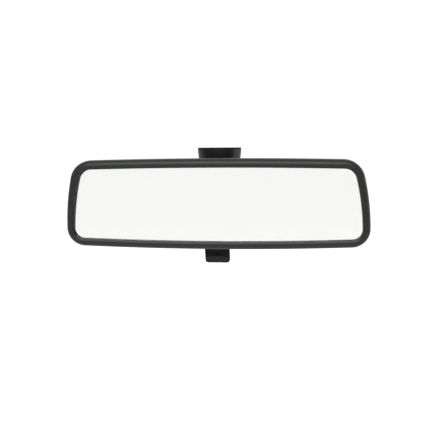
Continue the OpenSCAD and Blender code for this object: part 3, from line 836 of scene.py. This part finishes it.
spot_parts = grow(tab_paint, "ShaderNodeSeparateXYZ", {"Vector": spot.outputs["Object"]})
grip_top = (tab_place @ Vector((0, 0, grip_height - tab_length))).z
on_grip = grow(tab_paint, "ShaderNodeMapRange", {
    "Value": spot_parts.outputs["Z"], "From Min": grip_top, "From Max": grip_top - painted_light_fade})
grip_painted_light = grow(tab_paint, "ShaderNodeMix", {
    "Factor": on_grip.outputs["Result"], "A": plain_color, "B": grip_painted_light_color}, data_type="RGBA")
tab_paint.links.new(grip_painted_light.outputs["Result"],
                    tab_paint.nodes["Principled BSDF"].inputs["Base Color"])
fit("tab_moulding", carved(blade, *tab_steps), tab_plastic, "tab_plastic", "tab", "tab_lever")

# Mirror glass, silvering and film
# The glass is a wedge, thicker at the top, with ground edges. Its back is silvered, and a
# thin film is stuck over the silver to hold the splinters if the glass breaks.
glass_inset = 2.1 * mm
glass_edge = 4.6 * mm
glass_thin, glass_thick = 2 * mm, 6 * mm
silver_thick, film_thick = 0.1 * mm, 0.3 * mm
air_gap = 0.02 * mm
wedge_rise = (glass_thick - glass_thin) / (head_height - 2 * glass_edge)
glass_middle = glass_inset + (glass_thin + glass_thick) / 2


def wedge_ring(inset, behind):
    """Ring on the wedge's back plane, moved back by behind."""
    return [head_middle + Vector((p.x, glass_middle + behind + p.y * wedge_rise, p.y))
            for p in head_outline(inset)]


arris = 0.35 * mm
glass = skin([head_ring(glass_edge + arris, glass_inset),
              head_ring(glass_edge, glass_inset + arris),
              wedge_ring(glass_edge, -arris), wedge_ring(glass_edge + arris, 0)], False)
clear_glass = finish("clear_glass", (0.986, 0.988, 0.979), 0.0, 2 * mm, 60 * mm, (0.01, 0.004),
                     0.0, {"Transmission Weight": 1.0, "IOR": 1.52})
silvering = finish("silvering", (0.865, 0.865, 0.86), 0.012, 4 * mm, 90 * mm, (0.012, 0.008), 0.0,
                   {"Metallic": 1.0})
film = finish("film", (0.09, 0.105, 0.12), 0.5, 0.6 * mm, 30 * mm, (0.25, 0.15), 0.02 * mm)
fit("mirror_glass", glass, clear_glass, "clear_glass", "head", "prism_glass")
silver = skin([wedge_ring(glass_edge, air_gap), wedge_ring(glass_edge, silver_thick)], False)
fit("silver_layer", silver, silvering, "silvering", "head", "silver_coating")
backing = skin([wedge_ring(glass_edge, silver_thick + air_gap),
                wedge_ring(glass_edge, silver_thick + film_thick)], False)
fit("backing_film", backing, film, "film", "head", "safety_film")
dress(foam, "glass_cushions")

# Bezel
# The front frame is moulded in the same charcoal plastic. One section runs all the way round,
# a little narrower at the two ends: a rolled outer edge, a chamfer down to the glass, a seat
# for the glass and a skirt for the housing's tongue. The tab's slot is cut in its lower wall.
rim_width = 6.9 * mm
end_rim_width = 6.1 * mm
seat_inset = 4.3 * mm
seat_back = glass_inset + 2.4 * mm
skirt_inset, skirt_bevel = 2.2 * mm, 0.3 * mm
roll_width, roll_depth = 4.6 * mm, 4.4 * mm
round_handle = 0.5523
roll_end = (roll_width, 0)
chamfer_start = (5.05 * mm, 0.03 * mm)
chamfer_end = (rim_width - 0.3 * mm, 1.0 * mm)
lip_end = (rim_width, 1.35 * mm)
strokes = [
    [(0, bezel_depth), (0, roll_depth)],
    [(0, roll_depth), (0, roll_depth * (1 - round_handle)), (roll_width * (1 - round_handle), 0),
     roll_end],
    [roll_end, (roll_width + 0.2 * mm, 0), (roll_width + 0.35 * mm, 0), chamfer_start],
    [chamfer_start, chamfer_end],
    [chamfer_end, (rim_width - 0.15 * mm, 1.1 * mm), (rim_width, 1.15 * mm), lip_end],
    [lip_end, (rim_width, glass_inset)],
    [(rim_width, glass_inset), (seat_inset, glass_inset)],
    [(seat_inset, glass_inset), (seat_inset, seat_back)],
    [(seat_inset, seat_back), (skirt_inset, seat_back + 0.8 * mm)],
    [(skirt_inset, seat_back + 0.8 * mm), (skirt_inset, bezel_depth - skirt_bevel)],
    [(skirt_inset, bezel_depth - skirt_bevel), (skirt_inset - skirt_bevel, bezel_depth)],
    [(skirt_inset - skirt_bevel, bezel_depth), (0, bezel_depth)]]

rim_tree = bpy.data.node_groups.new("rim_sweep", "GeometryNodeTree")
for label, kind in (("Geometry", "Geometry"), ("Rim Width", "Float"), ("Rim Depth", "Float"),
                    ("End Narrowing", "Float"), ("Head Middle", "Vector"),
                    ("Finish", "Material")):
    rim_tree.interface.new_socket(label, in_out="INPUT", socket_type="NodeSocket" + kind)
rim_tree.interface.new_socket("Geometry", in_out="OUTPUT", socket_type="NodeSocketGeometry")
given = rim_tree.nodes.new("NodeGroupInput").outputs


def unit(point):
    """A place in the section as a share of the rim's width, inwards, and of its depth."""
    return (-point[0] / rim_width, point[1] / bezel_depth, 0)


lines = []
for stroke in strokes:
    if len(stroke) == 2:
        line = grow(rim_tree, "GeometryNodeCurvePrimitiveLine",
                    {"Start": unit(stroke[0]), "End": unit(stroke[1])})
    else:
        line = grow(rim_tree, "GeometryNodeCurvePrimitiveBezierSegment", {
            "Resolution": 14 if stroke[0] == (0, roll_depth) else 5, "Start": unit(stroke[0]),
            "Start Handle": unit(stroke[1]), "End Handle": unit(stroke[2]), "End": unit(stroke[3])})
    lines.append(line.outputs["Curve"])
section = grow(rim_tree, "GeometryNodeJoinGeometry", {"Geometry": lines})
section_scale = grow(rim_tree, "ShaderNodeCombineXYZ", {
    "X": given["Rim Width"], "Y": given["Rim Depth"], "Z": 1.0})
full_section = grow(rim_tree, "GeometryNodeTransform", {
    "Geometry": section.outputs[0], "Scale": section_scale.outputs[0]})
path = grow(rim_tree, "GeometryNodeMeshToCurve", {"Mesh": given["Geometry"]})
level_path = grow(rim_tree, "GeometryNodeSetCurveNormal", {"Curve": path.outputs[0]}, mode="Z_UP")
profile_place = grow(rim_tree, "GeometryNodeInputPosition")
profile_parts = grow(rim_tree, "ShaderNodeSeparateXYZ", {"Vector": profile_place.outputs[0]})
marked_section = grow(rim_tree, "GeometryNodeStoreNamedAttribute", {
    "Geometry": full_section.outputs[0], "Name": "inwards", "Value": profile_parts.outputs["X"]},
    data_type="FLOAT", domain="POINT")
swept = grow(rim_tree, "GeometryNodeCurveToMesh", {
    "Curve": level_path.outputs[0], "Profile Curve": marked_section.outputs[0]})
inwards = grow(rim_tree, "GeometryNodeInputNamedAttribute", {"Name": "inwards"}, data_type="FLOAT")
pull_share = grow(rim_tree, "ShaderNodeMapRange", {
    "Value": inwards.outputs["Attribute"], "From Min": -roll_width,
    "From Max": math_of(rim_tree, "MULTIPLY", given["Rim Width"], -1.0), "To Min": 0.0,
    "To Max": given["End Narrowing"]})
swept_place = grow(rim_tree, "GeometryNodeInputPosition")
swept_parts = grow(rim_tree, "ShaderNodeSeparateXYZ", {"Vector": swept_place.outputs[0]})
pull = grow(rim_tree, "ShaderNodeCombineXYZ", {
    "X": math_of(rim_tree, "MULTIPLY", swept_parts.outputs["X"], pull_share.outputs["Result"])})
narrowed = grow(rim_tree, "GeometryNodeSetPosition", {
    "Geometry": swept.outputs[0], "Offset": pull.outputs[0]})
welded = grow(rim_tree, "GeometryNodeMergeByDistance", {
    "Geometry": narrowed.outputs[0], "Distance": 0.002 * mm})
upright = grow(rim_tree, "GeometryNodeTransform", {
    "Geometry": welded.outputs[0], "Translation": given["Head Middle"], "Rotation": (pi / 2, 0, 0)})
solid = grow(rim_tree, "GeometryNodeRealizeInstances", {"Geometry": upright.outputs[0]})
coated = grow(rim_tree, "GeometryNodeSetMaterial", {
    "Geometry": solid.outputs[0], "Material": given["Finish"]})
grow(rim_tree, "NodeGroupOutput", {"Geometry": coated.outputs[0]})

rim_path = bmesh.new()
corners = [rim_path.verts.new((p.x, p.y, 0)) for p in head_outline(0)]
for a, b in zip(corners, corners[1:] + corners[:1]):
    rim_path.edges.new((a, b))
rim = run_tree("rim", rim_path, rim_tree, {
    "Rim Width": rim_width, "Rim Depth": bezel_depth,
    "End Narrowing": (rim_width - end_rim_width) / (head_width / 2),
    "Head Middle": head_middle, "Finish": case_plastic})
bmesh.ops.recalc_face_normals(rim, faces=rim.faces)
fit("bezel_frame", carved(rim, ("DIFFERENCE", block(*tab_slot))), case_plastic, "case_plastic",
    "head", "bezel")
